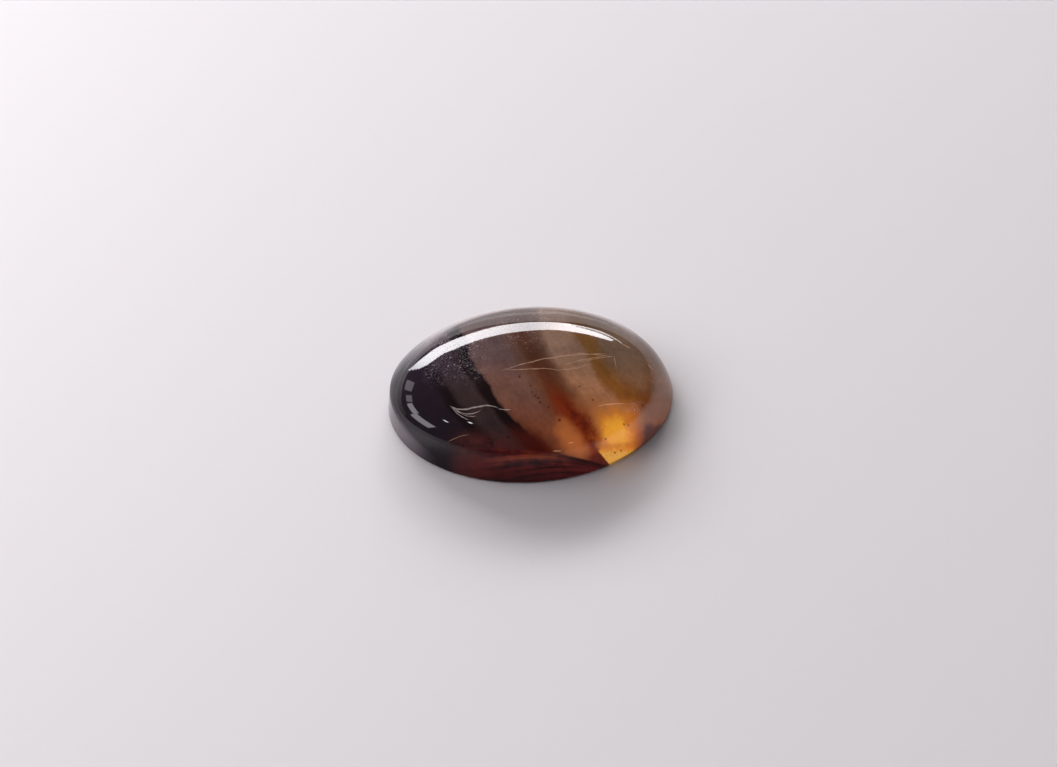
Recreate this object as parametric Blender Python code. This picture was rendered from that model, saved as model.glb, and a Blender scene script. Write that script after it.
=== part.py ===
"""Agate cabochon: one oval of banded agate, ground flat behind and domed in front.

The stone is one solid. Its back is a flat oval, its front a low dome with tight
shoulders, and a nearly plumb wall runs round it. The wall is a thin rim for most of
the way and grows tall round the left end, where the dome was ground back to the outline.

Length runs along X, width along Y, and the flat back lies on the plane z = 0.
The origin is the middle of the flat back. Units are metres.
"""

import math

import bmesh
import bpy

# The oval outline, at the widest level of the wall.
HALF_LENGTH = 0.0090
HALF_WIDTH = 0.00645

# The dome rises from its rim in two parts: a gentle crown and a tight shoulder.
RIM_HEIGHT = 0.00023
CROWN_RISE = 0.00174
SHOULDER_RISE = 0.00211
CROWN_POWER = 2
SHOULDER_POWER = 13

# The wall leans in as it rises, by this share of the oval for each metre of height.
WALL_LEAN = 10.0

# The ground bevel round the flat back.
BEVEL_HEIGHT = 0.00012
BEVEL_INSET = 0.014

# Where the dome is ground back, so that the wall stands tall at the left end.
# The cut fades quickly towards the front and slowly round the back.
END_DIRECTION = math.radians(185.0)
END_SPREAD_FRONT = math.radians(45.0)
END_SPREAD_BACK = math.radians(109.0)
END_CUT = 0.057

# How finely the surface is divided.
SEGMENTS = 104
WALL_RINGS = 3
DOME_RINGS = 22
RING_CROWDING = 1.9
POLE_REACH = 0.03
RIM_SOLVING_STEPS = 24

AGATE_COLOUR = (0.105, 0.058, 0.040, 1.0)
AGATE_ROUGHNESS = 0.06
AGATE_IOR = 1.54
CREASE_ANGLE = math.radians(24.0)


def clear_scene():
    for thing in list(bpy.data.objects):
        bpy.data.objects.remove(thing, do_unlink=True)


def agate_material():
    """Dark brown agate with a glassy polish."""
    material = bpy.data.materials.new("agate")
    material.use_nodes = True
    shader = material.node_tree.nodes["Principled BSDF"]
    shader.inputs["Base Color"].default_value = AGATE_COLOUR
    shader.inputs["Roughness"].default_value = AGATE_ROUGHNESS
    shader.inputs["Metallic"].default_value = 0.0
    shader.inputs["IOR"].default_value = AGATE_IOR
    return material


def end_share(angle):
    """How much of the end cut is felt in this direction: 1 at its middle, 0 past its spreads."""
    turn = angle % math.tau - END_DIRECTION
    spread = END_SPREAD_FRONT if turn > 0.0 else END_SPREAD_BACK
    share = max(0.0, 1.0 - abs(turn) / spread)
    return share * share * (3.0 - 2.0 * share)


def dome_height(reach, angle):
    """Height of the dome at a reach of 0 in the middle to 1 at the outline.

    The end cut moves the reach inwards, as if the dome were a little longer there.
    """
    eased = reach * (1.0 - END_CUT * end_share(angle) * reach * reach)
    crown = CROWN_RISE * (1.0 - eased**CROWN_POWER)
    shoulder = SHOULDER_RISE * (1.0 - eased**SHOULDER_POWER)
    return RIM_HEIGHT + crown + shoulder


def wall_reach(height):
    """Reach of the leaning wall at a height. It is widest, with a reach of 1, on the bevel."""
    return 1.0 - WALL_LEAN * (height - BEVEL_HEIGHT)


def rim(angle):
    """Reach and height of the line where the wall meets the dome, closed in on step by step."""
    reach = 1.0
    for _ in range(RIM_SOLVING_STEPS):
        reach = (reach + wall_reach(dome_height(reach, angle))) / 2.0
    return reach, dome_height(reach, angle)


def wall_point(share, angle):
    """Reach and height on the wall, from the bevel's top at 0 to the rim at 1."""
    height = BEVEL_HEIGHT + share * (rim(angle)[1] - BEVEL_HEIGHT)
    return wall_reach(height), height


def dome_point(share, angle):
    """Reach and height on the dome, from the rim at 0 to just round the pole at 1."""
    rim_reach = rim(angle)[0]
    inwards = share**RING_CROWDING
    reach = rim_reach + inwards * (POLE_REACH - rim_reach)
    return reach, dome_height(reach, angle)


def oval_angle(vertex):
    return math.atan2(vertex.co.y / HALF_WIDTH, vertex.co.x / HALF_LENGTH)


def place_ring(vertices, profile):
    """Moves a ring of vertices to the reach and height that profile gives for their angles."""
    for vertex in vertices:
        angle = oval_angle(vertex)
        reach, height = profile(angle)
        vertex.co.x = HALF_LENGTH * reach * math.cos(angle)
        vertex.co.y = HALF_WIDTH * reach * math.sin(angle)
        vertex.co.z = height


def extrude_ring(mesh, edges, profile):
    """Extrudes a ring of edges and places the new ring. Returns the new ring's edges."""
    made = bmesh.ops.extrude_edge_only(mesh, edges=edges)["geom"]
    new_vertices = [item for item in made if isinstance(item, bmesh.types.BMVert)]
    place_ring(new_vertices, profile)
    return [item for item in made if isinstance(item, bmesh.types.BMEdge)
            and item.verts[0] in new_vertices and item.verts[1] in new_vertices]


def build_stone(material):
    mesh = bmesh.new()
    circle = bmesh.ops.create_circle(mesh, segments=SEGMENTS, radius=HALF_LENGTH)
    bmesh.ops.scale(mesh, vec=(1.0, HALF_WIDTH / HALF_LENGTH, 1.0), verts=circle["verts"])
    place_ring(circle["verts"], lambda angle: (1.0 - BEVEL_INSET, 0.0))
    first_edges = list(mesh.edges)

    # The flat back closes the first ring, and the wall and dome rise from it.
    bmesh.ops.edgeloop_fill(mesh, edges=first_edges)
    edges = first_edges
    for step in range(WALL_RINGS):
        share = step / (WALL_RINGS - 1)
        edges = extrude_ring(mesh, edges, lambda angle: wall_point(share, angle))
    for step in range(DOME_RINGS):
        share = (step + 1) / DOME_RINGS
        edges = extrude_ring(mesh, edges, lambda angle: dome_point(share, angle))

    # The last small ring is filled and poked, and its middle goes to the top of the dome.
    lid = bmesh.ops.edgeloop_fill(mesh, edges=edges)["faces"]
    middle = bmesh.ops.poke(mesh, faces=lid)["verts"][0]
    middle.co = (0.0, 0.0, dome_height(0.0, 0.0))
    bmesh.ops.recalc_face_normals(mesh, faces=mesh.faces)

    data = bpy.data.meshes.new("agate_cabochon")
    mesh.to_mesh(data)
    mesh.free()
    data.materials.append(material)
    data.shade_smooth()
    data.set_sharp_from_angle(angle=CREASE_ANGLE)
    stone = bpy.data.objects.new("agate_cabochon", data)
    bpy.context.scene.collection.objects.link(stone)
    return stone


clear_scene()
build_stone(agate_material())
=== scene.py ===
# %% [markdown]
# # An agate cabochon
#
# A cabochon is a gem stone that is ground flat behind and domed in front. This one is an
# oval of banded agate: black at one end, then smoky, mauve, rust and olive bands, and an
# amber glow where light gathers at the front edge. The stone is one piece, so the lesson
# is about two things: a fine polished surface, and a stone that looks deep.
#
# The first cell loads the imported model. It is the fixed frame that the stone has to fit.

import math

import bpy
import numpy as np
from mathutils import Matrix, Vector


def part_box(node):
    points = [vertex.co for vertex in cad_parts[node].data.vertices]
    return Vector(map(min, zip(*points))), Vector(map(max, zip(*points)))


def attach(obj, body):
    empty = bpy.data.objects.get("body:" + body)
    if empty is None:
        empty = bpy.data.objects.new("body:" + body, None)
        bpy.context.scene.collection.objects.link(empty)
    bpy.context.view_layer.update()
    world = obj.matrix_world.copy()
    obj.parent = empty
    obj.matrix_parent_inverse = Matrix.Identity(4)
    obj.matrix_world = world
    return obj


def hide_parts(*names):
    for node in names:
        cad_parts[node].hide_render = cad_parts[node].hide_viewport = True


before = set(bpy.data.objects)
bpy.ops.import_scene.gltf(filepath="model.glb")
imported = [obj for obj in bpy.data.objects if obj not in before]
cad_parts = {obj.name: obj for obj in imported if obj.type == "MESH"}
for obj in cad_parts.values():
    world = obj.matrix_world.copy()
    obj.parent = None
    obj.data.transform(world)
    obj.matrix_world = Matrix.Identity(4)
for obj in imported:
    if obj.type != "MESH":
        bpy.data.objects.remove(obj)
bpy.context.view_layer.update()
base_corner, top_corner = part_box("agate_cabochon")
MM = 0.001
print("the stone is", [round(side / MM, 2) for side in top_corner - base_corner], "mm")

# %% [markdown]
# ## The camera
#
# The photograph looks down on the stone at a bit more than 50 degrees, from in front and
# slightly to the left. A camera could be placed by eye, but a small oval shows at once if
# the angle is wrong. So the angles, the distance and the focal length come from fitting the
# stone's outline to the photograph, and the camera looks at a point on the table.

# %% The camera
IMAGE_WIDTH = 1057
FOCAL_PIXELS = 2422.2
VIEW_AZIMUTH = math.radians(-6.774)
VIEW_ELEVATION = math.radians(52.63)
CAMERA_DISTANCE = 0.153
CAMERA_TARGET = Vector((0.0, 0.00131, 0.0))
SENSOR_WIDTH = 36.0
NEAREST_SEEN = 0.005
FARTHEST_SEEN = 5.0

to_camera = Vector((
    math.sin(VIEW_AZIMUTH) * math.cos(VIEW_ELEVATION),
    -math.cos(VIEW_AZIMUTH) * math.cos(VIEW_ELEVATION),
    math.sin(VIEW_ELEVATION),
))
across_view = Vector((math.cos(VIEW_AZIMUTH), math.sin(VIEW_AZIMUTH), 0.0))
up_view = to_camera.cross(across_view)

lens = bpy.data.cameras.new("camera")
lens.sensor_width = SENSOR_WIDTH
lens.lens = FOCAL_PIXELS / IMAGE_WIDTH * SENSOR_WIDTH
lens.clip_start = NEAREST_SEEN
lens.clip_end = FARTHEST_SEEN
camera = bpy.data.objects.new("camera", lens)
camera.location = to_camera * CAMERA_DISTANCE
camera.rotation_mode = "QUATERNION"
camera.rotation_quaternion = (CAMERA_TARGET - camera.location).to_track_quat("-Z", "Y")
bpy.context.scene.collection.objects.link(camera)
bpy.context.scene.camera = camera
bpy.context.scene.view_settings.view_transform = "Standard"
print("lens", round(lens.lens, 1), "mm, up the picture is", [round(part, 3) for part in up_view])

# %% [markdown]
# ## Surfaces from arrays
#
# Every surface here is a grid of rings. A helper turns such a grid into a mesh: its faces
# join each ring to the next, and the last column to the first, so that the seam is closed.
# Where a surface ends in a pole, the ring is a single point and its faces are triangles.

# %% Meshes from rings of points
def ring_faces(rings, columns, first):
    """Four-sided faces between neighbouring rings, as one array.

    Corner (r, c) has the number first + r * columns + c, and column c joins column c + 1,
    with the last one joined to the first.
    """
    row, column = np.meshgrid(np.arange(rings - 1), np.arange(columns), indexing="ij")
    beside = (column + 1) % columns
    corners = (row * columns + column, row * columns + beside,
               (row + 1) * columns + beside, (row + 1) * columns + column)
    return first + np.stack(corners, axis=-1).reshape(-1, 4)


def pole_faces(pole, ring_start, columns, flipped):
    """Triangles from a pole to each side of a ring. Flipped ones go round the other way."""
    column = np.arange(columns)
    here = ring_start + column
    beside = ring_start + (column + 1) % columns
    ends = (beside, here) if flipped else (here, beside)
    return np.stack((np.full(columns, pole), *ends), axis=-1)


def new_object(name, points, faces):
    """A smooth-shaded object in the scene with these points in metres."""
    data = bpy.data.meshes.new(name)
    data.from_pydata(points.tolist(), [], [face for group in faces for face in group.tolist()])
    data.shade_smooth()
    made = bpy.data.objects.new(name, data)
    bpy.context.scene.collection.objects.link(made)
    print(name, "has", len(points), "points and", len(data.polygons), "faces")
    return made


# %% [markdown]
# ## The table
#
# The stone mirrors what it lies on: the grey rim along its back and the bright crescent on
# its left wall are the pale table. So the table isn't a small card. It is a wide shallow
# dish that rises to about 8 degrees above the horizon, as high as the pale reflections go.

# %% The floor's shape
DISH_FLAT_RADIUS = 0.10
DISH_RADIUS = 0.50
DISH_RISE = 0.075
DISH_RINGS = 40
DISH_COLUMNS = 96


def dish(share, angle):
    """A round dish. Its height is 0 on the flat middle, then grows with the square of the way out."""
    radius = share * DISH_RADIUS
    way_out = np.clip((radius - DISH_FLAT_RADIUS) / (DISH_RADIUS - DISH_FLAT_RADIUS), 0.0, 1.0)
    return np.stack((radius * np.cos(angle), radius * np.sin(angle), DISH_RISE * way_out**2), axis=-1)


shares, angles = np.meshgrid(
    np.linspace(1.0 / DISH_RINGS, 1.0, DISH_RINGS),
    np.linspace(0.0, math.tau, DISH_COLUMNS, endpoint=False),
    indexing="ij",
)
dish_points = np.concatenate((np.zeros((1, 3)), dish(shares, angles).reshape(-1, 3)))
floor = new_object("floor", dish_points, (
    pole_faces(0, 1, DISH_COLUMNS, flipped=False),
    ring_faces(DISH_RINGS, DISH_COLUMNS, 1)[:, ::-1],
))

# %% [markdown]
# ## The stone's shape
#
# A cabochon's dome isn't part of a ball. The middle is gently crowned and the shoulders turn
# down quickly, because the grinder works round the edge last. Here one formula gives the
# height over the oval: a crown that falls with the square of the reach, and a shoulder that
# falls with a high power of it. The wall is nearly plumb, and it grows tall at the left end,
# where the dome was ground back. These are the same values as in the solid model.

# %% The formula of the dome and wall
# The outline and the height come from the frame, and the rest repeats the solid's values.
HALF_LENGTH = top_corner.x
HALF_WIDTH = top_corner.y
RIM_HEIGHT = 0.00023
CROWN_RISE = 0.00174
SHOULDER_RISE = top_corner.z - RIM_HEIGHT - CROWN_RISE
CROWN_POWER = 2
SHOULDER_POWER = 13
WALL_LEAN = 10.0
BEVEL_HEIGHT = 0.00012
BEVEL_INSET = 0.014
END_DIRECTION = math.radians(185.0)
END_SPREAD_FRONT = math.radians(45.0)
END_SPREAD_BACK = math.radians(109.0)
END_CUT = 0.057
RIM_SOLVING_STEPS = 24


def end_share(angle):
    """1 in the direction of the end cut, easing to 0 at its spreads: 3 s^2 - 2 s^3."""
    turn = np.mod(angle, math.tau) - END_DIRECTION
    spread = np.where(turn > 0.0, END_SPREAD_FRONT, END_SPREAD_BACK)
    share = np.clip(1.0 - np.abs(turn) / spread, 0.0, 1.0)
    return share**2 * (3.0 - 2.0 * share)


def dome_height(reach, angle):
    """Rim + crown (1 - e^2) + shoulder (1 - e^13), where e is the reach, eased by the end cut."""
    eased = reach * (1.0 - END_CUT * end_share(angle) * reach**2)
    crown = CROWN_RISE * (1.0 - eased**CROWN_POWER)
    return RIM_HEIGHT + crown + SHOULDER_RISE * (1.0 - eased**SHOULDER_POWER)


def wall_reach(height):
    """The wall's reach falls by a fixed share with each metre of height above the bevel."""
    return 1.0 - WALL_LEAN * (height - BEVEL_HEIGHT)


def rim_reach(angle):
    """Where the wall meets the dome: the reach is moved half way to the wall, again and again."""
    reach = np.ones_like(angle)
    for _ in range(RIM_SOLVING_STEPS):
        reach = (reach + wall_reach(dome_height(reach, angle))) / 2.0
    return reach


ends = np.array((0.0, END_DIRECTION))
right_wall, left_wall = np.round(dome_height(rim_reach(ends), ends) / MM, 2)
print("the wall is", right_wall, "mm high at the right end and", left_wall, "mm at the left")

# %% [markdown]
# ## A hand-polished surface
#
# A wheel leaves two things that a formula lacks. The edge between wall and dome is worn
# round, and the dome has faint waves, about a thousandth of a millimetre high. They are too
# small to see as shape, but they make the window's edge in the polish wander. Both belong in
# the mesh, not in a bump.

# %% Waves and rings of points
BACK_RINGS = 4
WALL_RINGS = 8
EDGE_RINGS = 7
DOME_RINGS = 118
RING_CROWDING = 1.9
POLE_REACH = 0.012
EDGE_WEAR = 0.00007
WAVE_HEIGHT = 0.0000009
WAVE_LENGTHS = (0.0043, 0.0031, 0.0023)
WAVE_TURNS = (0.4, 2.1, 4.4)


def waves(x, y):
    """Three sets of waves that cross: sin(2 pi d / length), where d is the way along each set."""
    total = np.zeros_like(x)
    for length, turn in zip(WAVE_LENGTHS, WAVE_TURNS):
        along = x * math.cos(turn) + y * math.sin(turn)
        total = total + np.sin(math.tau * along / length + turn)
    return WAVE_HEIGHT * total


def back_rings(level):
    """Flat rings, evenly spaced from near the middle of the back to its bevel."""
    flat = 1.0 - BEVEL_INSET
    return [(level + flat * share, level) for share in np.linspace(1.0 / BACK_RINGS, 1.0, BACK_RINGS)]


def wall_rings(top):
    """Rings up the leaning wall, from the bevel to where the worn edge starts."""
    heights = [BEVEL_HEIGHT + share * (top - BEVEL_HEIGHT) for share in np.linspace(0.0, 1.0, WALL_RINGS)]
    return [(wall_reach(height), height) for height in heights]


def edge_rings(wall_top, rim, dome_start):
    """The worn edge, a quadratic curve pulled towards the rim.

    (1 - s)^2 wall top + 2 s (1 - s) rim + s^2 dome start, for the reach and for the height.
    """
    made = []
    for share in np.linspace(0.0, 1.0, EDGE_RINGS + 1, endpoint=False)[1:]:
        weights = ((1.0 - share)**2, 2.0 * share * (1.0 - share), share**2)
        made.append(tuple(weights[0] * first + weights[1] * second + weights[2] * third
                          for first, second, third in zip(wall_top, rim, dome_start)))
    return made


def dome_rings(start, angle):
    """Rings over the dome, crowded at the shoulder: the way in is a share to the power 1.9."""
    reaches = [start + share * (POLE_REACH - start)
               for share in np.linspace(0.0, 1.0, DOME_RINGS)**RING_CROWDING]
    return [(reach, dome_height(reach, angle)) for reach in reaches]


def profile(angle):
    """Reach and height of each ring, from the back's first ring, up the wall, to the top."""
    rim = rim_reach(angle)
    rim_height = dome_height(rim, angle)
    worn = np.minimum(EDGE_WEAR, (rim_height - BEVEL_HEIGHT) / 2.0)
    wall = wall_rings(rim_height - worn)
    dome = dome_rings(rim - worn / HALF_LENGTH, angle)
    edge = edge_rings(wall[-1], (rim, rim_height), dome[0])
    return np.array(back_rings(np.zeros_like(rim)) + wall + edge + dome)


# %% The stone's mesh
COLUMNS = 480
CREASE_ANGLE = math.radians(24.0)

angle = np.linspace(0.0, math.tau, COLUMNS, endpoint=False)
rings = profile(angle)
x = HALF_LENGTH * rings[:, 0] * np.cos(angle)
y = HALF_WIDTH * rings[:, 0] * np.sin(angle)
above_back = np.clip(rings[:, 1] / SHOULDER_RISE, 0.0, 1.0)
z = rings[:, 1] + waves(x, y) * above_back
middle = np.zeros(1)
back_pole = np.zeros((1, 3))
top_pole = np.stack((middle, middle, dome_height(middle, middle) + waves(middle, middle)), axis=-1)
stone_points = np.concatenate((back_pole, np.stack((x, y, z), axis=-1).reshape(-1, 3), top_pole))
stone = new_object("agate_stone", stone_points, (
    pole_faces(0, 1, COLUMNS, flipped=True),
    ring_faces(len(rings), COLUMNS, 1),
    pole_faces(len(stone_points) - 1, len(stone_points) - 1 - COLUMNS, COLUMNS, flipped=False),
))
stone.data.set_sharp_from_angle(angle=CREASE_ANGLE)

# %% [markdown]
# ## Shader sums as Python
#
# A painted stone needs much arithmetic: distances, masks, blends. Drawn by hand that is a
# web of Math nodes. Here a small class wraps a socket and overloads the operators, so that
# `1 - mask` adds the node itself. All other nodes come from one method.

# %% Sums on sockets
class Field:
    """A number that varies over the surface. Sums on it add Math nodes to its finish."""

    def __init__(self, finish, socket):
        self.finish = finish
        self.socket = socket

    def math(self, operation, *values):
        made = self.finish.node("ShaderNodeMath", {"operation": operation}, dict(enumerate(values)))
        return Field(self.finish, made.outputs[0])

    def __add__(self, other):
        return self.math("ADD", self, other)

    __radd__ = __add__

    def __sub__(self, other):
        return self.math("SUBTRACT", self, other)

    def __rsub__(self, other):
        return self.math("SUBTRACT", other, self)

    def __mul__(self, other):
        return self.math("MULTIPLY", self, other)

    __rmul__ = __mul__

    def __truediv__(self, other):
        return self.math("DIVIDE", self, other)

    def __abs__(self):
        return self.math("ABSOLUTE", self)

    def __pow__(self, power):
        return self.math("POWER", self, power)

    def at_least(self, other):
        return self.math("MAXIMUM", self, other)

    def at_most(self, other):
        return self.math("MINIMUM", self, other)

    def sine(self):
        return self.math("SINE", self)

    def ease(self, low, high):
        """0 below low, 1 above high and a smooth step between. With low above high it falls."""
        made = self.finish.node("ShaderNodeMapRange", {"interpolation_type": "SMOOTHSTEP"},
                                {"Value": self, "From Min": low, "From Max": high})
        return Field(self.finish, made.outputs[0])

    def band(self, start, full, fading, end):
        """Rises from 0 at start to 1 at full, stays there to fading and is 0 again at end."""
        return self.ease(start, full) * self.ease(end, fading)


# %% Finishes, their nodes and their colours
MIX_FACTOR = 0
MIX_UNDER = 6
MIX_OVER = 7
MIX_RESULT = 2


class Finish:
    """One material and its nodes."""

    def __init__(self, name):
        self.material = bpy.data.materials.new(name)
        self.material.use_nodes = True
        self.tree = self.material.node_tree
        self.shader = self.tree.nodes["Principled BSDF"]

    def node(self, kind, settings=None, inputs=None):
        """Adds a node of a type. Its settings and a ramp's stops come first, then its sockets."""
        made = self.tree.nodes.new(kind)
        for name, value in (settings or {}).items():
            if name == "stops":
                self.set_stops(made.color_ramp, value)
            else:
                setattr(made, name, value)
        self.fill(made, inputs or {})
        return made

    def set_stops(self, ramp, stops):
        while len(ramp.elements) < len(stops):
            ramp.elements.new(1.0)
        for element, (place, colour) in zip(ramp.elements, stops):
            element.position = place
            element.color = (*colour, 1.0)

    def fill(self, node, inputs):
        """Sets sockets, by name or number: a Field or an output is linked, anything else is a value."""
        for name, value in inputs.items():
            if isinstance(value, Field):
                value = value.socket
            if isinstance(value, bpy.types.NodeSocket):
                self.tree.links.new(value, node.inputs[name])
            elif isinstance(value, tuple) and len(value) == 3 and node.inputs[name].type == "RGBA":
                node.inputs[name].default_value = (*value, 1.0)
            else:
                node.inputs[name].default_value = value

    def lay(self, under, over, mask, way="MIX"):
        """A colour laid over another where the mask is 1."""
        made = self.node("ShaderNodeMix", {"data_type": "RGBA", "blend_type": way, "clamp_factor": True},
                         {MIX_FACTOR: mask, MIX_UNDER: under, MIX_OVER: over})
        return made.outputs[MIX_RESULT]

    def along(self, position, direction):
        """How far a position lies along a direction, in millimetres."""
        made = self.node("ShaderNodeVectorMath", {"operation": "DOT_PRODUCT"},
                         {0: position, 1: tuple(direction)})
        return Field(self, made.outputs["Value"]) * (1.0 / MM)

    def point(self, x, y, z):
        return self.node("ShaderNodeCombineXYZ", None, {0: x, 1: y, 2: z}).outputs[0]

    def cloud(self, point, scale, detail=2.0, roughness=0.5):
        """Soft noise round 0, from about -0.5 to 0.5, with scale lumps to the unit."""
        made = self.node("ShaderNodeTexNoise", {"noise_dimensions": "3D"},
                         {"Vector": point, "Scale": scale, "Detail": detail, "Roughness": roughness})
        return Field(self, made.outputs["Fac"]) - 0.5

    def grains(self, point, scale):
        """Distance to the nearest of many scattered grains, scale of them to the unit."""
        made = self.node("ShaderNodeTexVoronoi", {"feature": "F1"}, {"Vector": point, "Scale": scale})
        return Field(self, made.outputs["Distance"])

    def report(self, what):
        print("with", what, self.material.name, "has", len(self.tree.nodes), "nodes")


def paint(red, green, blue):
    """A colour as the eye names it, 0 to 255 a channel, turned into the linear light of a shader."""
    shares = np.array((red, green, blue)) / 255.0
    linear = np.where(shares <= 0.04045, shares / 12.92, ((shares + 0.055) / 1.055)**2.4)
    return tuple(float(part) for part in linear)


# %% [markdown]
# ## The table's finish
#
# A plain pale matt surface, with no pattern: it is only there to catch the shadow and to be
# mirrored in the polish. It looks brighter along its surface, towards the light, and the
# stone's back edge mirrors it at just that slant, so it has a soft sheen.

# %% Plain matt floor
PALE_TABLE = (0.79, 0.755, 0.77)
floor_finish = Finish("floor_matt")
floor_finish.fill(floor_finish.shader, {
    "Base Color": PALE_TABLE, "Roughness": 0.42, "Sheen Weight": 1.0, "Sheen Roughness": 0.3,
})
floor.data.materials.append(floor_finish.material)
floor_finish.report("the table's sheen")

# %% [markdown]
# ## Looking into the stone
#
# Real agate is layered and lets light in. It could be modelled as clear glass round coloured
# layers, but that needs slow, noisy light paths, and an export turns it flat. So the stone is
# painted: a solid texture gives the colour of each point of the surface, and the polish goes
# over it. The layers run down through the stone, so the pattern is drawn on a plane that
# faces the viewer and carried straight through. The three directions are `u` across the view,
# `v` up the view and `w` towards the viewer, in millimetres from the middle of the back.
#
# Each mask below eases from 0 to 1 between two named places, such as `v.ease(*TO_THE_BACK)`,
# or has four places and is a band. A set of clouds is written as scale, detail and roughness.

# %% Coordinates of the pattern
agate = Finish("agate_polished")
position = agate.node("ShaderNodeTexCoord").outputs["Object"]
u = agate.along(position, across_view)
v = agate.along(position, up_view)
w = agate.along(position, to_camera)
grain_point = agate.point(u, v, w)
print("towards the viewer is", [round(part, 3) for part in to_camera])

# %% [markdown]
# ## The bands
#
# Agate grows in layers, one on the other, so its colours follow one number: how far along
# the growth a point lies. Here that number is `growth`. It runs from the black end on the
# left to the olive end on the right. The layers lean down to the right, they bow a little,
# and soft noise lets them wander. A ramp turns the number into the layers' colours.

# %% How far along the growth
LAYER_LEAN = 0.78
LAYER_BOW = 0.05
RIGHT_BEND = 0.12
RIGHT_BEND_START = 4.0
LONG_WANDER_SCALE = 0.42
SHORT_WANDER_SCALE = 1.9
SHORT_WANDER = 0.3

wander = (agate.cloud(grain_point, LONG_WANDER_SCALE)
          + agate.cloud(grain_point, SHORT_WANDER_SCALE) * SHORT_WANDER)
right_bend = (u - RIGHT_BEND_START).at_least(0.0)**2.0 * RIGHT_BEND
growth = u + v * LAYER_LEAN - v * v * LAYER_BOW - right_bend + wander
print("the layers lean", round(math.degrees(math.atan(LAYER_LEAN)), 1), "degrees from upright")

# %% Growth layers
GROWTH_START = -8.0
GROWTH_END = 9.0
SOOT = paint(32, 22, 29)
SMOKE = paint(58, 42, 42)
SABLE = paint(22, 8, 10)
MAUVE = paint(114, 78, 66)
COCOA = paint(112, 68, 46)
UMBER = paint(98, 50, 28)
TAN = paint(166, 115, 82)
OLIVE = paint(136, 82, 34)
FAWN = paint(132, 92, 64)
PLUM = paint(104, 72, 64)
LAYERS = (
    (GROWTH_START, SOOT), (-5.6, SOOT), (-5.25, SABLE), (-4.8, SABLE), (-4.3, SMOKE), (-3.05, SMOKE),
    (-2.65, SABLE), (-2.08, SABLE), (-1.82, MAUVE), (0.3, MAUVE), (1.1, COCOA), (1.6, UMBER),
    (2.2, UMBER), (2.8, COCOA), (3.4, TAN), (4.8, TAN), (5.3, OLIVE), (5.85, OLIVE),
    (6.5, FAWN), (7.6, FAWN), (8.6, PLUM),
)

growth_span = GROWTH_END - GROWTH_START
layer_stops = [((place - GROWTH_START) / growth_span, layer) for place, layer in LAYERS]
layers = agate.node("ShaderNodeValToRGB", {"stops": layer_stops}, {0: (growth - GROWTH_START) / growth_span})
colour = layers.outputs["Color"]
print(len(LAYERS), "layer colours over", growth_span, "mm of growth")

# %% [markdown]
# ## Cool behind, warm in front
#
# Light comes in behind the stone and leaves it at the front, and on its long way through the
# chalcedony it turns red. So the same layer is greyer at the back and rustier at the front.
# Multiplying by a tint keeps the layers' pattern and only shifts its colour.

# %% Tints along the layers
COOL_TINT = (0.54, 0.68, 0.92)
WARM_TINT = (1.22, 0.68, 0.36)
RIM_SHADE = (0.62, 0.56, 0.53)
NIGHT = paint(36, 26, 40)
NIGHT_WEIGHT = 0.55
BLACK_TO_MAUVE = (-3.4, -1.8)
TO_THE_BACK = (0.6, 3.0)
TO_THE_FRONT = (1.2, -2.6)
TO_THE_BACK_RIM = (4.1, 4.9)
TO_THE_NIGHT = (-0.2, 2.2)
SMOKE_TO_NIGHT = (-2.7, -3.3)

coloured = growth.ease(*BLACK_TO_MAUVE)
colour = agate.lay(colour, COOL_TINT, v.ease(*TO_THE_BACK) * coloured, "MULTIPLY")
colour = agate.lay(colour, WARM_TINT, v.ease(*TO_THE_FRONT) * coloured, "MULTIPLY")
colour = agate.lay(colour, RIM_SHADE, v.ease(*TO_THE_BACK_RIM), "MULTIPLY")
night = v.ease(*TO_THE_NIGHT) * growth.ease(*SMOKE_TO_NIGHT)
colour = agate.lay(colour, NIGHT, night * NIGHT_WEIGHT)
agate.report("the set of tints")

# %% [markdown]
# ## Cloudy and laminated
#
# Between its main bands agate has fine laminations, and its chalcedony is cloudy. Both are
# weak. The laminations follow `growth`, the clouds don't, and both only lighten or darken.

# %% Clouds and laminations
BIG_CLOUDS = (0.9, 4.0, 0.6)
BIG_CLOUD_WEIGHT = 0.9
SMALL_CLOUDS = (5.0, 3.0, 0.6)
SMALL_CLOUD_WEIGHT = 0.5
LAMINATION_LENGTH = 0.53
LAMINATION_WEIGHT = 0.035
LAMINATION_WANDER_SCALE = 1.5
LAMINATION_WANDER = 9.0

clouds = (agate.cloud(grain_point, *BIG_CLOUDS) * BIG_CLOUD_WEIGHT
          + agate.cloud(grain_point, *SMALL_CLOUDS) * SMALL_CLOUD_WEIGHT)
lamination_wander = agate.cloud(grain_point, LAMINATION_WANDER_SCALE) * LAMINATION_WANDER
laminations = (growth * (math.tau / LAMINATION_LENGTH) + lamination_wander).sine() * LAMINATION_WEIGHT
shade = 1.0 + clouds + laminations
colour = agate.lay(colour, agate.point(shade, shade, shade), 1.0, "MULTIPLY")
print("the laminations repeat every", LAMINATION_LENGTH, "mm")

# %% [markdown]
# ## The rust layer, and red fog at the lower left
#
# One layer is full of iron. It is a thin brown line at the back, and towards the front it
# broadens into glowing rust, with a paler sienna beside it. On the left the black part isn't
# quite black either: a dull red shows in it, in patches, most of all where the dark layers
# come down to the front.

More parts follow.
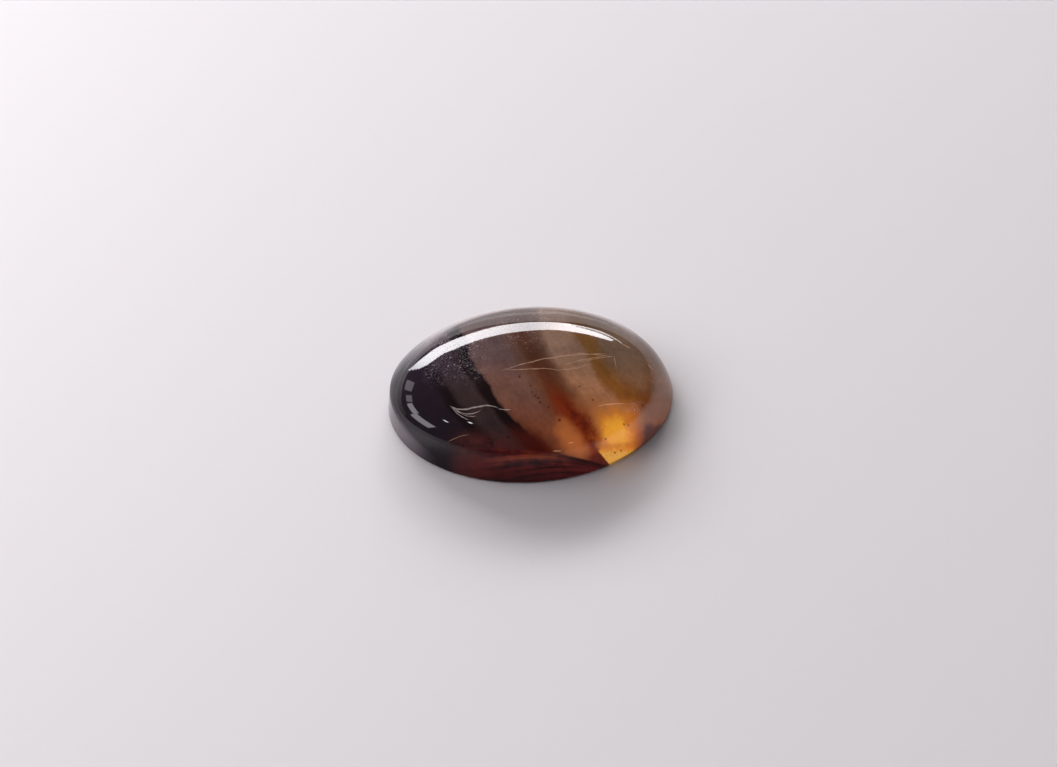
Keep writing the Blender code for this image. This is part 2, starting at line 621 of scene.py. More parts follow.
# %% The rust layer
RUST = paint(132, 44, 9)
RUST_WEIGHT = 0.92
DARK_RUST = paint(84, 20, 4)
DARK_RUST_WEIGHT = 0.8
SIENNA = paint(168, 102, 58)
SIENNA_WEIGHT = 0.85
RUST_GROWTH = 1.85
RUST_FRONT_SHIFT = 0.9
RUST_SHIFTS = (-1.5, -3.6)
RUST_HALF_WIDTH = 0.48
RUST_BROADENING = 0.54
RUST_BROADENS = (1.4, -1.6)
RUST_FADE = (1.5, 0.1)
RUST_APPEARS = (1.6, -0.7)
DARK_RUST_OFFSET = 0.1
DARK_RUST_FADE = (0.6, -0.2)
DARK_RUST_APPEARS = (0.9, -0.9)
SIENNA_LAYERS = (2.0, 2.7, 3.6, 4.6)
SIENNA_APPEARS = (0.9, -1.0)
WIDE_PATCHES = (0.8, 4.0, 0.65)
RUST_CLOUDS = (2.4, 5.0, 0.65)
RUST_PATCHINESS = 0.9
RUST_CLOUDINESS = 1.1
DARK_RUST_CLOUDINESS = 2.4

sienna = growth.band(*SIENNA_LAYERS) * v.ease(*SIENNA_APPEARS)
colour = agate.lay(colour, SIENNA, sienna * SIENNA_WEIGHT)
wide_patches = agate.cloud(grain_point, *WIDE_PATCHES)
rust_clouds = agate.cloud(grain_point, *RUST_CLOUDS)
rust_middle = RUST_GROWTH - v.ease(*RUST_SHIFTS) * RUST_FRONT_SHIFT
rust_width = RUST_HALF_WIDTH + v.ease(*RUST_BROADENS) * RUST_BROADENING
rust_shape = (abs(growth - rust_middle) / rust_width
              + wide_patches * RUST_PATCHINESS + rust_clouds * RUST_CLOUDINESS)
rust = rust_shape.ease(*RUST_FADE) * v.ease(*RUST_APPEARS)
colour = agate.lay(colour, RUST, rust * RUST_WEIGHT)
dark_shape = abs(growth - rust_middle - DARK_RUST_OFFSET) / rust_width + rust_clouds * DARK_RUST_CLOUDINESS
dark_rust = dark_shape.ease(*DARK_RUST_FADE) * v.ease(*DARK_RUST_APPEARS)
colour = agate.lay(colour, DARK_RUST, dark_rust * DARK_RUST_WEIGHT)
broad_half_width = round(RUST_HALF_WIDTH + RUST_BROADENING, 2)
print("the rust's soft half width is", RUST_HALF_WIDTH, "to", broad_half_width, "mm of growth")

# %% Red fog and embers
OXBLOOD = paint(84, 38, 36)
EMBER = paint(84, 22, 10)
EMBER_WEIGHT = 0.85
FOG_UPWARD = (-1.5, -2.7)
FOG_ACROSS = (-5.4, -3.6)
FOG_LAYERS = (-2.2, -3.6)
FOG_PATCHES = (-0.34, 0.08)
FOG_CLOUDINESS = 0.5
EMBER_LAYERS = (-3.6, -2.5, -1.8, -1.1)
EMBER_UPWARD = (-1.2, -2.4)

fog_patches = (wide_patches + rust_clouds * FOG_CLOUDINESS).ease(*FOG_PATCHES)
fog = v.ease(*FOG_UPWARD) * u.ease(*FOG_ACROSS) * growth.ease(*FOG_LAYERS) * fog_patches
colour = agate.lay(colour, OXBLOOD, fog)
ember = growth.band(*EMBER_LAYERS) * v.ease(*EMBER_UPWARD)
colour = agate.lay(colour, EMBER, ember * EMBER_WEIGHT)
agate.report("the red fog")

# %% [markdown]
# ## The orange cloud and the amber glow
#
# The dome gathers the light like a lens, and at the front right it shines through an amber
# layer. The glow fills a shield between the rust layer and the front edge. It is soft above
# and ends in a sharp tip below, where the dark front cuts it off. A smaller orange cloud
# lies left of the rust layer, and a plum-coloured shadow right of the glow.

# %% The orange cloud
ORANGE = paint(186, 104, 52)
ORANGE_WEIGHT = 0.85
ORANGE_U = 2.455
ORANGE_V = -2.5
ORANGE_LEAN = 0.45
ORANGE_NARROWNESS = 1.3
ORANGE_LOWNESS = 0.5
ORANGE_PATCHINESS = 1.9
ORANGE_FADE = (1.5, -0.1)

beside_orange = u - ORANGE_U + (v - ORANGE_V) * ORANGE_LEAN
from_orange = beside_orange**2.0 * ORANGE_NARROWNESS + (v - ORANGE_V)**2.0 * ORANGE_LOWNESS
orange = (from_orange + wide_patches * ORANGE_PATCHINESS).ease(*ORANGE_FADE)
colour = agate.lay(colour, ORANGE, orange * ORANGE_WEIGHT)
agate.report("the orange cloud")

# %% The shield of the amber glow
AMBER = paint(196, 116, 40)
LEFT_EDGE_U = 4.03
LEFT_EDGE_LEAN = 0.05
TIP_CUT_V = -3.2
TIP_CUT_LEAN = 0.78
LEFT_SOFTNESS = 0.6
TIP_SHARPENING = 0.54
TO_THE_TIP = (-2.5, -3.3)
RIGHT_EDGE_U = 6.96
RIGHT_EDGE_LEAN = 0.12
RIGHT_FADE = (0.45, -0.3)
TOP_FADE = (0.25, -1.15)
EDGE_WANDER = (1.2, 4.0, 0.6)
LEFT_WANDER = 2.2
RIGHT_WANDER = 0.7
TOP_WANDER = 1.5

edge_wander = agate.cloud(grain_point, *EDGE_WANDER)
left_edge = LEFT_EDGE_U - v * LEFT_EDGE_LEAN - (v - TIP_CUT_V).at_most(0.0) * TIP_CUT_LEAN
left_soft = LEFT_SOFTNESS - v.ease(*TO_THE_TIP) * TIP_SHARPENING
amber_left = (u - left_edge + edge_wander * (left_soft * LEFT_WANDER)).ease(left_soft * -1.0, left_soft)
past_right_edge = u - RIGHT_EDGE_U - v * RIGHT_EDGE_LEAN
amber_right = (past_right_edge + edge_wander * RIGHT_WANDER).ease(*RIGHT_FADE)
amber_top = (v + edge_wander * TOP_WANDER).ease(*TOP_FADE)
amber = amber_left * amber_right * amber_top
colour = agate.lay(colour, AMBER, amber)
print("the glow is about", round(RIGHT_EDGE_U - LEFT_EDGE_U, 1), "mm wide")

# %% Gold and honey in the glow
GOLD = paint(226, 154, 46)
HONEY = paint(206, 152, 70)
HONEY_WEIGHT = 0.85
BLOTCHES = (2.6, 5.0, 0.7)
BLOTCH_LEAN = 0.5
BLOTCH_STRETCH = 0.6
CORE_U = 5.25
CORE_V = -1.97
CORE_LEAN = 0.3
CORE_NARROWNESS = 1.3
CORE_LOWNESS = 1.2
GOLD_FADE = (1.9, -0.4)
GOLD_BLOTCHINESS = 3.4
GOLD_WANDER = 1.5
HONEY_LEAN = 0.06
HONEY_LEAN_FROM = 5.0
HONEY_WANDER = 0.35
HONEY_START = (-2.95, -3.35)

blotches = agate.cloud(agate.point(u + v * BLOTCH_LEAN, v * BLOTCH_STRETCH, w), *BLOTCHES)
above_core = v - CORE_V + (u - CORE_U) * CORE_LEAN
from_core = (u - CORE_U)**2.0 * CORE_NARROWNESS + above_core**2.0 * CORE_LOWNESS
gold = (from_core + blotches * GOLD_BLOTCHINESS + edge_wander * GOLD_WANDER).ease(*GOLD_FADE)
colour = agate.lay(colour, GOLD, amber * gold)
honey_line = v - (u - HONEY_LEAN_FROM) * HONEY_LEAN + blotches * HONEY_WANDER
colour = agate.lay(colour, HONEY, amber * honey_line.ease(*HONEY_START) * HONEY_WEIGHT)
agate.report("the gold")

# %% Grains of barley, and the glow's shaded side
BARLEY = paint(150, 84, 30)
STREAK_LINE = -2.8
STREAK_FADE = (0.3, 0.0)
STREAK_WEIGHT = 0.35
GRAIN_LINE = -3.25
GRAIN_LINE_FADE = (0.3, 0.1)
GRAIN_SCALE = 7.0
GRAIN_FADE = (0.4, 0.15)
BARLEY_BLOTCHES = (0.08, 0.3)
BARLEY_WEIGHT = 0.6
AMBER_SHADE = (0.76, 0.58, 0.20)
AMBER_SHADE_ACROSS = (5.5, 6.9)

streak = abs(honey_line - STREAK_LINE).ease(*STREAK_FADE) * STREAK_WEIGHT
grains = agate.grains(grain_point, GRAIN_SCALE).ease(*GRAIN_FADE)
grain_row = grains * abs(honey_line - GRAIN_LINE).ease(*GRAIN_LINE_FADE)
barley = streak.at_least(grain_row.at_least(blotches.ease(*BARLEY_BLOTCHES)) * BARLEY_WEIGHT)
colour = agate.lay(colour, BARLEY, amber * barley)
colour = agate.lay(colour, AMBER_SHADE, amber * u.ease(*AMBER_SHADE_ACROSS), "MULTIPLY")
agate.report("the barley")

# %% Rose, blush and damson round the glow's right edge
ROSE = paint(132, 66, 38)
ROSE_WEIGHT = 0.75
ROSE_WANDER = 0.4
ROSE_INNER = (-0.35, 0.15)
ROSE_OUTER = (1.0, 0.3)
ROSE_UPWARD = (-1.0, -1.8)
BLUSH = paint(140, 98, 80)
BLUSH_WEIGHT = 0.7
BLUSH_ACROSS = (6.2, 7.1)
BLUSH_UPWARD = (-2.1, -1.3, -0.6, 0.1)
DAMSON = paint(76, 48, 54)
DAMSON_WEIGHT = 0.9
DAMSON_ACROSS = (0.05, 0.45)
DAMSON_UPWARD = (-1.2, -1.8)
DAMSON_WANDER_ACROSS = 0.6
DAMSON_WANDER_UPWARD = 0.8

rose = (past_right_edge + edge_wander * ROSE_WANDER).ease(*ROSE_INNER) * past_right_edge.ease(*ROSE_OUTER)
colour = agate.lay(colour, ROSE, rose * v.ease(*ROSE_UPWARD) * ROSE_WEIGHT)
blush = u.ease(*BLUSH_ACROSS) * v.band(*BLUSH_UPWARD)
colour = agate.lay(colour, BLUSH, blush * BLUSH_WEIGHT)
damson = ((past_right_edge + edge_wander * DAMSON_WANDER_ACROSS).ease(*DAMSON_ACROSS)
          * (v + edge_wander * DAMSON_WANDER_UPWARD).ease(*DAMSON_UPWARD))
colour = agate.lay(colour, DAMSON, damson * DAMSON_WEIGHT)
agate.report("the glow's right edge")

# %% [markdown]
# ## The dark front
#
# Below a curved line the dome mirrors its own dark inside, so the front is a deep maroon with
# streaks that fan out from the glow's tip. The fan comes from stretching one noise: its second
# coordinate is the way below the line, divided by the distance to the tip.

# %% The front's streaks
MAROON = paint(88, 26, 28)
RUSSET = paint(138, 58, 32)
INK = paint(20, 4, 5)
TIP_U = 4.95
FRONT_LINE_V = -3.02
FRONT_BEND = 0.0276
FRONT_BEND_START = -1.4
FAN_ORIGIN_U = TIP_U + 1.4
FAN_LEAST_REACH = 0.4
FAN_STRETCH = (0.22, 22.0, 0.16)
FAN_STREAKS = (1.0, 4.0, 0.6)
LOOSE_STREAKS = (1.6, 3.0)
LOOSE_SHARE = 0.35
MAROON_STREAKS = (-0.24, 0.08)
RUSSET_STREAKS = (-0.04, 0.2)
RUSSET_ACROSS = (-4.2, 0.2, 1.4, 3.6)
RUSSET_BELOW = (1.3, 0.4)

front_line = FRONT_LINE_V - (u - FRONT_BEND_START).at_least(0.0)**2.0 * FRONT_BEND
below = front_line - v
fan_reach = (FAN_ORIGIN_U - u).at_least(FAN_LEAST_REACH)
fan = agate.point(u * FAN_STRETCH[0], below / fan_reach * FAN_STRETCH[1], w * FAN_STRETCH[2])
streaks = agate.cloud(fan, *FAN_STREAKS) + agate.cloud(grain_point, *LOOSE_STREAKS) * LOOSE_SHARE
russet_part = u.band(*RUSSET_ACROSS) * below.ease(*RUSSET_BELOW)
front_colour = agate.lay(INK, MAROON, streaks.ease(*MAROON_STREAKS))
front_colour = agate.lay(front_colour, RUSSET, streaks.ease(*RUSSET_STREAKS) * russet_part)
agate.report("the fan of streaks")

# %% The ink wedge, the front's mask and the dusk above it
DUSK = paint(74, 28, 28)
DUSK_WEIGHT = 0.85
DUSK_RAGGED = 0.6
WEDGE_BELOW = (0.6, 0.1)
WEDGE_ACROSS = (0.6, 2.6)
WEDGE_WEIGHT = 0.85
INK_FOOT = (1.2, 2.2)
INK_FOOT_WEIGHT = 0.75
FRONT_START = (-0.05, 0.1)
FRONT_ACROSS = (-5.2, -2.2, TIP_U - 0.1, TIP_U + 0.05)
DUSK_ABOVE = (0.85, 0.0)
DUSK_ACROSS = (2.8, 3.9)

wedge = below.ease(*WEDGE_BELOW) * u.ease(*WEDGE_ACROSS) * WEDGE_WEIGHT
ink = wedge.at_least(below.ease(*INK_FOOT) * INK_FOOT_WEIGHT)
front_colour = agate.lay(front_colour, INK, ink)
dusk = (streaks * DUSK_RAGGED - below).ease(*DUSK_ABOVE) * u.ease(*DUSK_ACROSS) * (1.0 - amber)
colour = agate.lay(colour, DUSK, dusk * DUSK_WEIGHT)
colour = agate.lay(colour, front_colour, below.ease(*FRONT_START) * u.band(*FRONT_ACROSS))
agate.report("the dark front")

# %% [markdown]
# ## Polish marks and feathers
#
# A few pale hair lines cross the stone. They are healed cracks, called feathers, that catch
# the light. Each is a stroke between two points that bows and swings: its mask is near 1 where
# the height over the stroke's curve is less than its width. A slight wander of the whole set
# takes away the look of drawn arcs.

# %% Where the feathers lie
# A stroke is written as from u, from v, to u, to v, bow, swing and half width.
FEATHER_GREY = paint(188, 174, 168)
FEATHER_BROWN = paint(176, 138, 114)
FEATHER_ROSE = paint(226, 166, 120)
FEATHERS = (
    (FEATHER_GREY, 0.8, (
        (-4.97, -0.36, -1.90, -0.58, -0.01, -0.18, 0.062), (-1.98, -0.57, -1.22, -0.61, 0.0, 0.0, 0.050),
        (-4.90, -0.38, -3.00, -0.60, -0.39, 0.0, 0.045), (-4.92, -0.40, -3.80, -1.24, -0.13, 0.0, 0.050),
        (-4.70, -0.55, -3.30, -1.00, -0.20, 0.0, 0.032),
    )),
    (FEATHER_BROWN, 0.78, (
        (-1.90, 1.75, 5.00, 2.83, 0.367, 0.0, 0.050), (1.90, 2.12, 4.60, 2.71, 0.07, 0.0, 0.045),
        (-1.70, 1.86, 1.95, 1.78, 0.09, -0.05, 0.042), (2.00, 1.86, 3.30, 2.02, -0.02, 0.0, 0.040),
        (2.60, 2.90, 5.30, 2.62, 0.06, 0.0, 0.030), (5.70, 3.50, 6.25, 3.22, 0.0, 0.0, 0.050),
        (7.30, 2.22, 7.72, 1.76, 0.0, 0.0, 0.070), (7.36, 1.26, 7.68, 1.04, 0.0, 0.0, 0.055),
        (-5.10, -2.60, -3.75, -2.12, 0.08, 0.0, 0.040), (1.50, 1.80, 3.95, 2.26, -0.03, 0.0, 0.034),
        (5.16, 2.70, 5.30, 1.98, 0.0, 0.0, 0.200), (3.00, 2.34, 5.20, 2.70, 0.04, 0.0, 0.028),
    )),
    (FEATHER_ROSE, 0.85, (
        (4.00, -0.43, 5.85, -0.24, 0.08, 0.0, 0.055), (1.34, -3.13, 1.86, -3.10, 0.0, 0.0, 0.055),
        (2.30, -2.66, 2.62, -2.60, 0.03, 0.0, 0.045), (4.96, -4.03, 6.50, -3.27, -0.02, 0.0, 0.095),
    )),
)

# %% The feathers' masks
BOW_PEAK = 4.0
SWING_PEAK = 10.4
END_WIDTH = 0.5
MIDDLE_WIDENING = 2.2
FULL_WITHIN = 0.15
STROKE_START = (-0.03, 0.1)
STROKE_END = (1.03, 0.85)
HAIR_CLOUDS = (1.5, 3.0)
HAIR_SQUASH = 0.4
HAIR_WANDER = 0.14
WIDTH_CLOUDS = (3.0, 2.0)
WIDTH_RANGE = (-0.3, 0.3)
LEAST_WIDTH = 0.6
MORE_WIDTH = 0.7
UNEVEN_CLOUDS = (4.0, 2.0)
UNEVEN_RANGE = (-0.5, 0.1)

hair_v = v + agate.cloud(agate.point(u, v * HAIR_SQUASH, 0.0), *HAIR_CLOUDS) * HAIR_WANDER
hair_width = LEAST_WIDTH + agate.cloud(grain_point, *WIDTH_CLOUDS).ease(*WIDTH_RANGE) * MORE_WIDTH


def feather(from_u, from_v, to_u, to_v, bow, swing, half_width):
    """Mask of one stroke, with t from 0 to 1 along it.

    Its curve is a straight line plus t (1 - t) (4 bow + 10.4 swing (1 - 2 t)), so that bow and
    swing are the greatest distances from the line.
    """
    t = (u - from_u) / (to_u - from_u)
    bulge = t * (1.0 - t)
    curve = from_v + (to_v - from_v) * t + bulge * ((1.0 - 2.0 * t) * (SWING_PEAK * swing) + BOW_PEAK * bow)
    width = hair_width * (bulge * MIDDLE_WIDENING + END_WIDTH) * half_width
    return abs(hair_v - curve).ease(width, width * FULL_WITHIN) * t.ease(*STROKE_START) * t.ease(*STROKE_END)


uneven = agate.cloud(grain_point, *UNEVEN_CLOUDS).ease(*UNEVEN_RANGE)
for tint, strength, strokes in FEATHERS:
    mask = feather(*strokes[0])
    for stroke in strokes[1:]:
        mask = mask.at_least(feather(*stroke))
    colour = agate.lay(colour, tint, mask * uneven * strength)
    print(len(strokes), "strokes in a set of feathers")

# %% [markdown]
# ## Specks and dust
#
# Dark mineral specks sit in the bands, in a row along the rust layer and singly elsewhere,
# and a fine pepper fills the brown layer. Pale dust lies on the black part, where the window
# lights it, and a little on the brown at the back and beside the glow.

# %% Specks and pepper
# A speck is written as its u, its v and its radius.
SPECK_TINT = (0.22, 0.13, 0.10)
SPECK_WEIGHT = 0.85
SPECKS = (
    (-0.69, 1.42, 0.09), (0.0, 0.86, 0.07), (0.06, 0.49, 0.08), (0.25, 0.24, 0.10), (0.44, 0.11, 0.09),
    (0.56, -0.14, 0.10), (1.06, -0.45, 0.07), (2.99, 0.80, 0.09), (3.80, 0.01, 0.08), (-1.37, -2.26, 0.10),
    (-1.87, -1.94, 0.10), (1.75, -1.25, 0.13), (5.17, -3.25, 0.09), (5.55, -3.13, 0.08), (4.58, -2.38, 0.10),
    (5.75, -1.50, 0.08), (6.02, -1.56, 0.08), (6.9, -0.35, 0.07),
)
PEPPER_LAYERS = (0.4, 1.3, 1.3, 2.2)
PEPPER_UPWARD = (-1.6, -0.6, 1.2, 2.2)
PEPPER_SCALE = 6.0
PEPPER_GRAINS = (0.2, 0.08)
PEPPER_CLOUDS = (2.4, 2.0)
PEPPER_CLUMPS = (0.06, 0.2)
SPECK_WANDER = (14.0, 3.0, 0.7)
SPECK_RAGGED = 0.3
SPECK_FULL_WITHIN = 0.3

speck_wander = agate.cloud(grain_point, *SPECK_WANDER) * SPECK_RAGGED
specks = 0.0
for speck_u, speck_v, radius in SPECKS:
    away = ((u - speck_u)**2.0 + (v - speck_v)**2.0)**0.5 + speck_wander
    specks = away.ease(radius, radius * SPECK_FULL_WITHIN).at_least(specks)
pepper_clumps = agate.cloud(grain_point, *PEPPER_CLOUDS).ease(*PEPPER_CLUMPS)
pepper = agate.grains(grain_point, PEPPER_SCALE).ease(*PEPPER_GRAINS) * pepper_clumps
pepper_place = growth.band(*PEPPER_LAYERS) * v.band(*PEPPER_UPWARD)
colour = agate.lay(colour, SPECK_TINT, specks.at_least(pepper * pepper_place) * SPECK_WEIGHT, "MULTIPLY")
print(len(SPECKS), "single specks")

# %% Dust
# A dusty patch is written as its band across, its band upward and its weight.
DUST = paint(168, 156, 162)
DUST_WEIGHT = 0.8
DUST_CLOUDS = (1.6, 4.0, 0.65)
DUST_CLUMPS = (-0.2, 0.12)
COARSE_CLOUDS = (4.5, 2.0)
COARSE_CLUMPS = (-0.06, 0.14)
COARSE_SCALE = 6.5
COARSE_GRAINS = (0.5, 0.16)
FINE_SCALE = 13.0
FINE_GRAINS = (0.5, 0.2)
FINE_WEIGHT = 0.4
DUST_PATCHES = (
    ((-6.9, -6.0, -3.6, -2.0), (0.4, 2.4, 3.8, 4.6), 1.0),
    ((-3.6, -1.4, 0.2, 2.6), (2.7, 3.8, 8.0, 9.0), 0.6),
    ((5.7, 6.1, 6.6, 7.2), (-1.4, -0.8, -0.2, 0.1), 1.0),
)

dust_clumps = agate.cloud(grain_point, *DUST_CLOUDS).ease(*DUST_CLUMPS)
coarse_clumps = agate.cloud(grain_point, *COARSE_CLOUDS).ease(*COARSE_CLUMPS)
coarse_dust = agate.grains(grain_point, COARSE_SCALE).ease(*COARSE_GRAINS) * coarse_clumps
fine_dust = agate.grains(grain_point, FINE_SCALE).ease(*FINE_GRAINS) * FINE_WEIGHT
dusty_part = 0.0
for across, upward, weight in DUST_PATCHES:
    dusty_part = (u.band(*across) * v.band(*upward) * weight).at_least(dusty_part)
dust = coarse_dust.at_least(fine_dust) * dust_clumps * dusty_part
colour = agate.lay(colour, DUST, dust * DUST_WEIGHT)
print(len(DUST_PATCHES), "dusty patches")

# %% [markdown]
# ## The thin edge
#
# Round the back shoulder and on the tall left wall the stone is thin, and some of the pale
# table shows through it. That light is painted: a paler colour is laid on by how far out a
# point lies on the oval: `reach` is 1 on the outline. The right end is painted a little darker
# and browner as shade, and the bottom of the wall there is painted dark as shade.

# %% How far out a point lies
out_x = agate.along(position, (1.0, 0.0, 0.0)) * (MM / HALF_LENGTH)
out_y = agate.along(position, (0.0, 1.0, 0.0)) * (MM / HALF_WIDTH)
height = agate.along(position, (0.0, 0.0, 1.0))
reach = (out_x**2.0 + out_y**2.0)**0.5
print("a reach of 1 is", round(HALF_LENGTH / MM, 2), "mm along and", round(HALF_WIDTH / MM, 2), "mm across")

# %% Painted light on the thin edges, painted shade at the right end and the wall's bottom
SHOULDER_LIGHT_BROWN = paint(110, 92, 90)
SHOULDER_LIGHT_BROWN_WEIGHT = 0.85
EDGE_LIGHT_GREY = paint(206, 193, 197)
EDGE_LIGHT_GREY_WEIGHT = 0.52
SHOULDER_REACH = (0.76, 0.86, 0.88, 0.97)
SHOULDER_BACK = (0.2, 0.75)
SHOULDER_LIGHT_BROWN_ACROSS = (-0.7, -0.1)
END_SHADE_TINT = (0.74, 0.60, 0.50)
END_REACH = (0.74, 0.9)
END_ACROSS = (0.6, 0.8)
END_BACK = (0.5, 0.2)
WALL_LIGHT_GREY = paint(150, 136, 144)
WALL_LIGHT_GREY_WEIGHT = 0.2
WALL_LIGHT_GREY_GAIN = 0.15
WALL_LIGHT_GREY_GAINS = (-0.6, -2.0)
WALL_REACH = (0.968, 0.985)
WALL_ACROSS = (-0.7, -0.9)
FOOT_SHADE = paint(60, 40, 24)
FOOT_SHADE_WEIGHT = 0.8
FOOT_HEIGHT = (0.34, 0.2)
FOOT_BACK = (0.0, -0.3)
FOOT_ACROSS = (0.3, 0.6)

# The thin shoulder's light brown and pale grey are painted light: the table's light seen through the thin
# edge.
lit_thin_shoulder = reach.band(*SHOULDER_REACH) * out_y.ease(*SHOULDER_BACK)
lit_brown_shoulder = lit_thin_shoulder * out_x.ease(*SHOULDER_LIGHT_BROWN_ACROSS)
colour = agate.lay(colour, SHOULDER_LIGHT_BROWN, lit_brown_shoulder * SHOULDER_LIGHT_BROWN_WEIGHT)
colour = agate.lay(colour, EDGE_LIGHT_GREY, lit_thin_shoulder * EDGE_LIGHT_GREY_WEIGHT)
# The right end's darker, browner tint is painted shade.
shaded_right_end = reach.ease(*END_REACH) * out_x.ease(*END_ACROSS) * out_y.ease(*END_BACK)
colour = agate.lay(colour, END_SHADE_TINT, shaded_right_end, "MULTIPLY")
# The left wall's pale grey is painted light, from the table seen through the thin wall.
lit_tall_wall = reach.ease(*WALL_REACH) * out_x.ease(*WALL_ACROSS)
wall_light_weight = WALL_LIGHT_GREY_WEIGHT + v.ease(*WALL_LIGHT_GREY_GAINS) * WALL_LIGHT_GREY_GAIN
colour = agate.lay(colour, WALL_LIGHT_GREY, lit_tall_wall * wall_light_weight)
# The dark at the bottom of the wall is painted shade.
shaded_foot = height.ease(*FOOT_HEIGHT) * out_y.ease(*FOOT_BACK) * out_x.ease(*FOOT_ACROSS)
colour = agate.lay(colour, FOOT_SHADE, shaded_foot * FOOT_SHADE_WEIGHT)
agate.report("the thin edge")

# %% [markdown]
# ## The polish, and light from inside
#
# The polish is a coat of glassy chalcedony with a refractive index of 1.54. It is a coat and
# not the body's own gloss, so that the front, where handling dulled it, can mirror less, and
# the dust too. Part of the colour is light that comes through the stone: it is laid on as a
# faint glow, strongest in the amber.

# %% Polish
COAT_IOR = 1.54
COAT_ROUGHNESS = 0.035
BODY_SHARE = 0.82
GLOW_ALL_OVER = 0.18
GLOW_FRONT_RIGHT = 0.38
GLOW_RIGHT_END = 0.2
GLOW_AMBER = 0.25
GLOW_UPWARD = (0.8, -3.2)
GLOW_LAYERS = (-2.4, 0.4)
GLOW_ACROSS = (3.0, 8.0)
HANDLED_FRONT = (-2.2, -3.4)
FRONT_DULLING = 0.7
DUST_DULLING = 0.6

body = agate.lay(colour, (BODY_SHARE, BODY_SHARE, BODY_SHARE), 1.0, "MULTIPLY")
front_right = v.ease(*GLOW_UPWARD) * growth.ease(*GLOW_LAYERS)
through = (GLOW_ALL_OVER + front_right * GLOW_FRONT_RIGHT
           + u.ease(*GLOW_ACROSS) * GLOW_RIGHT_END + amber * GLOW_AMBER)
glow = agate.lay(colour, agate.point(through, through, through), 1.0, "MULTIPLY")
coat = (1.0 - v.ease(*HANDLED_FRONT) * FRONT_DULLING) * (1.0 - dust * DUST_DULLING)
agate.fill(agate.shader, {
    "Base Color": body, "Emission Color": glow, "Emission Strength": 1.0, "Specular IOR Level": 0.0,
    "Coat Weight": coat, "Coat IOR": COAT_IOR, "Coat Roughness": COAT_ROUGHNESS,
})
stone.data.materials.append(agate.material)
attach(stone, "root")
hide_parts("agate_cabochon")
agate.report("the polish")

# %% [markdown]
# ## Light from a window
#
# The stone lies near a window behind it and another on its left. Their mirror images in the
# polish tell how wide and high they are: each point of the dome mirrors one direction. The
# window is built from upright slices, so that its mirror image bends as the photograph's
# does. A pale sill lies under it, and a thin line of light under its right end. The window on
# the left shows as four panes, and two small lamps make the two sparks on the black part. Big
# soft lights that the polish doesn't mirror give the rest of the daylight.

# %% Panels of light
LIGHT_DISTANCE = 1.0
WHITE = (1.0, 1.0, 1.0)


def toward(azimuth, elevation):
    """A direction: azimuth in degrees from +Y towards +X, elevation above the table."""
    turn, rise = math.radians(azimuth), math.radians(elevation)
    return Vector((math.sin(turn) * math.cos(rise), math.cos(turn) * math.cos(rise), math.sin(rise)))


def panel(name, azimuth, elevation, wide, high, radiance, colour=WHITE, distance=LIGHT_DISTANCE):
    """An oblong light that faces the stone. Wide and high are in degrees, as the stone sees it."""
    data = bpy.data.lights.new(name, "AREA")
    data.shape = "RECTANGLE"
    data.size = 2.0 * distance * math.tan(math.radians(wide) / 2.0)
    data.size_y = 2.0 * distance * math.tan(math.radians(high) / 2.0)
    data.energy = radiance * math.pi * data.size * data.size_y
    data.color = colour
    made = bpy.data.objects.new(name, data)
    direction = toward(azimuth, elevation)
    made.location = direction * distance
    made.rotation_mode = "QUATERNION"
    made.rotation_quaternion = (-direction).to_track_quat("-Z", "Y")
    bpy.context.scene.collection.objects.link(made)
    return made


def strip(name, outline, slices, colour):
    """A band of upright panels side by side.

    The outline's rows are azimuth, lower edge and upper edge in degrees, and radiance. Each
    panel takes its edges and its radiance from straight lines between the rows.
    """
    azimuths, lows, highs, radiances = np.array(outline).T
    edges = np.linspace(azimuths[0], azimuths[-1], slices + 1)
    middles = (edges[:-1] + edges[1:]) / 2.0
    low = np.interp(middles, azimuths, lows)
    high = np.interp(middles, azimuths, highs)
    radiance = np.interp(middles, azimuths, radiances)
    step = float(edges[1] - edges[0])
    for number in range(slices):
        elevation = float(low[number] + high[number]) / 2.0
        wide = step * math.cos(math.radians(elevation))
        panel(f"{name}_{number + 1:02d}", float(middles[number]), elevation,
              wide, float(high[number] - low[number]), float(radiance[number]), colour)
    print(name, "is", slices, "panels of", round(step, 2), "degrees")


# %% The window behind the stone
WINDOW = (
    (-34.5, 15.0, 18.0, 8.5), (-32.5, 18.5, 25.5, 9.5), (-30.0, 20.3, 31.0, 11.0),
    (-26.0, 22.2, 33.8, 13.5), (-22.0, 23.6, 33.8, 14.5), (-18.0, 23.6, 32.5, 14.5),
    (-14.5, 23.9, 32.5, 14.0), (-10.0, 23.2, 30.8, 13.5), (-6.0, 21.8, 29.0, 12.5),
    (-1.0, 20.3, 28.0, 11.0), (5.0, 19.4, 27.7, 9.0), (10.0, 19.6, 27.1, 10.0),
    (13.0, 20.0, 27.2, 12.0), (16.0, 22.4, 27.8, 13.5), (20.0, 24.2, 28.6, 14.0),
    (24.0, 25.6, 29.6, 13.5), (28.0, 27.6, 29.6, 11.0),
)
WINDOW_SLICES = 46
WINDOW_COLOUR = (0.985, 0.965, 1.0)
strip("window", WINDOW, WINDOW_SLICES, WINDOW_COLOUR)

# %% The thin line of light under the window's right end
GLAZING = (
    (13.0, 20.0, 21.2, 10.5), (18.0, 21.3, 22.4, 10.5), (23.0, 22.8, 24.2, 10.0),
    (27.0, 24.6, 25.6, 8.0), (31.5, 26.8, 27.4, 6.0),
)
GLAZING_SLICES = 16
strip("glazing", GLAZING, GLAZING_SLICES, WINDOW_COLOUR)

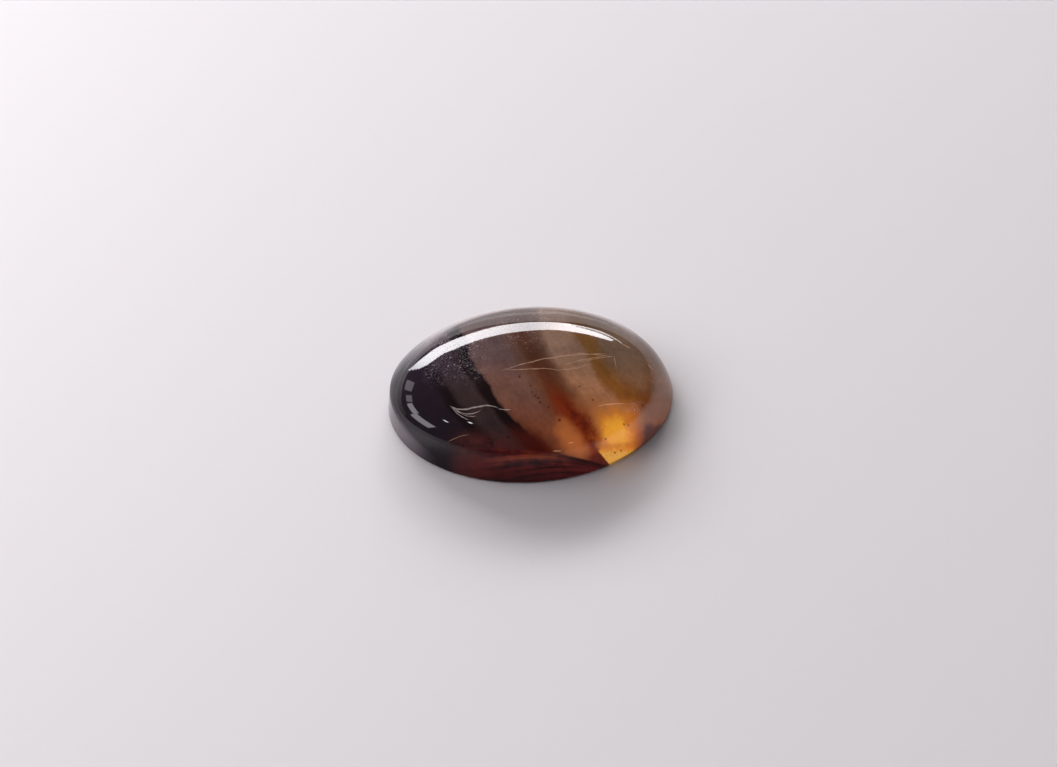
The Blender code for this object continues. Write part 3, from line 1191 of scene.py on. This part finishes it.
# %% The pale sill below the window
SILL_LOW = 8.4
SILL = (
    (-90.0, SILL_LOW, 15.0, 0.25), (-60.0, SILL_LOW, 18.0, 0.6), (-30.0, SILL_LOW, 19.0, 1.15),
    (0.0, SILL_LOW, 18.4, 1.25), (30.0, SILL_LOW, 18.4, 1.05), (60.0, SILL_LOW, 17.0, 0.45),
    (90.0, SILL_LOW, 14.0, 0.2),
)
SILL_SLICES = 20
SILL_COLOUR = (1.0, 0.95, 0.97)
strip("sill", SILL, SILL_SLICES, SILL_COLOUR)

# %% The panes on the left and two small lamps
# A panel is written as azimuth, elevation, width and height in degrees, and radiance.
PANES = (
    (-47.0, 30.0, 9.0, 13.0, 1.8), (-65.0, 33.0, 10.0, 10.0, 1.8),
    (-82.5, 32.0, 15.0, 9.5, 3.8), (-103.0, 27.0, 20.0, 12.0, 3.8),
)
PANE_COLOUR = (0.96, 0.90, 1.0)
LAMPS = ((-103.8, 54.7, 3.0, 1.6, 14.0), (-103.5, 69.0, 2.0, 1.5, 14.0))
for number, pane in enumerate(PANES):
    panel(f"left_pane_{number + 1}", *pane, PANE_COLOUR)
for number, lamp in enumerate(LAMPS):
    panel(f"lamp_{number + 1}", *lamp)
print(len(PANES), "panes and", len(LAMPS), "small lamps")

# %% The soft daylight
# These three light the stone and the table, but the polish doesn't mirror them.
WINDOW_DAYLIGHT = (-6.0, 21.5, 60.0, 8.0, 16.0)
SOFT_DAYLIGHT = (-70.0, 35.0, 50.0, 40.0, 2.1)
SOFT_DISTANCE = 0.145
ROOM_FILL = (100.0, 60.0, 50.0, 50.0, 0.22)
ROOM_FILL_DISTANCE = 0.5
ROOM_COLOUR = (0.075, 0.075, 0.08)

unmirrored = (
    panel("window_daylight", *WINDOW_DAYLIGHT),
    panel("soft_daylight", *SOFT_DAYLIGHT, distance=SOFT_DISTANCE),
    panel("room_fill", *ROOM_FILL, distance=ROOM_FILL_DISTANCE),
)
for light in unmirrored:
    light.visible_glossy = False
world = bpy.data.worlds.new("room")
world.use_nodes = True
world.node_tree.nodes["Background"].inputs["Color"].default_value = (*ROOM_COLOUR, 1.0)
bpy.context.scene.world = world
print(len(bpy.data.lights), "lights in all")
